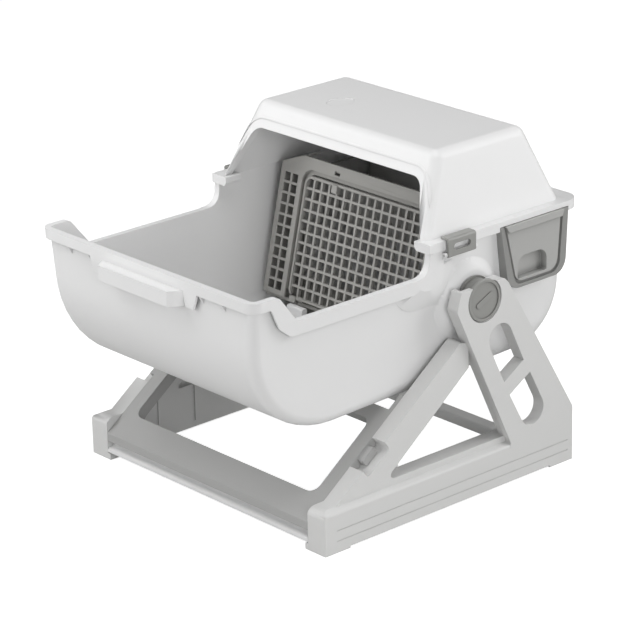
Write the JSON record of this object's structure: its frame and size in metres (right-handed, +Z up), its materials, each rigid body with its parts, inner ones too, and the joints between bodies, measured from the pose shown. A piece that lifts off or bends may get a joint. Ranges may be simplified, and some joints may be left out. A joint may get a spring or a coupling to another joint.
{
  "type": "drawer litter box",
  "caption": "Roll-over sifting cat litter box: a hooded tub on trunnions between two A-shaped stand sides, with a sieve, a hinged grid panel, side latches and a waste drawer.",
  "frame": {"origin": "on the floor, under the middle of the object's bounding box", "axes": "+X to the object's right (the side with the drawer's face), +Y to the back (the hood), +Z up, for a viewer who faces the low open front of the tub"},
  "size_m": [0.51, 0.634, 0.4969],
  "materials": {
    "white_pp": "satin injection-moulded polypropylene",
    "sieve_grey_pp": "satin injection-moulded polypropylene",
    "drawer_grey_pp": "satin injection-moulded polypropylene",
    "frame_grey_pp": "satin injection-moulded polypropylene",
    "dark_grey_abs": "matt moulded ABS",
    "bearing_pom": "smooth moulded POM",
    "pin_steel": "brushed",
    "foot_rubber": "matt"
  },
  "bodies": {
    "stand": {"left_side_frame": "white_pp", "right_side_frame": "white_pp", "front_frame": "frame_grey_pp", "front_crossbar": "white_pp", "rear_crossbar": "frame_grey_pp", "left_bush": "bearing_pom", "right_bush": "bearing_pom", "front_left_foot": "foot_rubber", "front_right_foot": "foot_rubber", "rear_left_foot": "foot_rubber", "rear_right_foot": "foot_rubber"},
    "tilting_tub": {"tub": "white_pp", "hood": "white_pp", "sieve_box": "sieve_grey_pp", "clump_ramp": "sieve_grey_pp", "drawer_frame": "drawer_grey_pp", "left_latch_pin": "pin_steel", "right_latch_pin": "pin_steel", "left_trunnion": "bearing_pom", "right_trunnion": "bearing_pom", "left_knob": "dark_grey_abs", "right_knob": "dark_grey_abs"},
    "waste_drawer": {"drawer": "drawer_grey_pp"},
    "left_clip": {"left_latch": "dark_grey_abs"},
    "right_clip": {"right_latch": "dark_grey_abs"},
    "grid_panel": {"sieve_panel": "sieve_grey_pp"}
  },
  "joints": [
    {"name": "tub_tilt", "type": "hinge", "parent": "stand", "child": "tilting_tub", "pos_m": [0, 0.099, 0.2915], "axis": [1, 0, 0], "range_deg": [-95, 0]},
    {"name": "drawer_slide", "type": "slide", "parent": "tilting_tub", "child": "waste_drawer", "axis": [1, 0, 0], "range_m": [0, 0.3]},
    {"name": "right_latch_hinge", "type": "hinge", "parent": "tilting_tub", "child": "right_clip", "pos_m": [0.2315, 0.0735, 0.365], "axis": [0, 1, 0], "range_deg": [0, 100]},
    {"name": "left_latch_hinge", "type": "hinge", "parent": "tilting_tub", "child": "left_clip", "pos_m": [-0.2315, 0.0735, 0.365], "axis": [0, -1, 0], "range_deg": [0, 100]},
    {"name": "sieve_panel_hinge", "type": "hinge", "parent": "tilting_tub", "child": "grid_panel", "pos_m": [0, 0.08413, 0.19968], "axis": [1, 0, 0], "range_deg": [0, 85]}
  ]
}
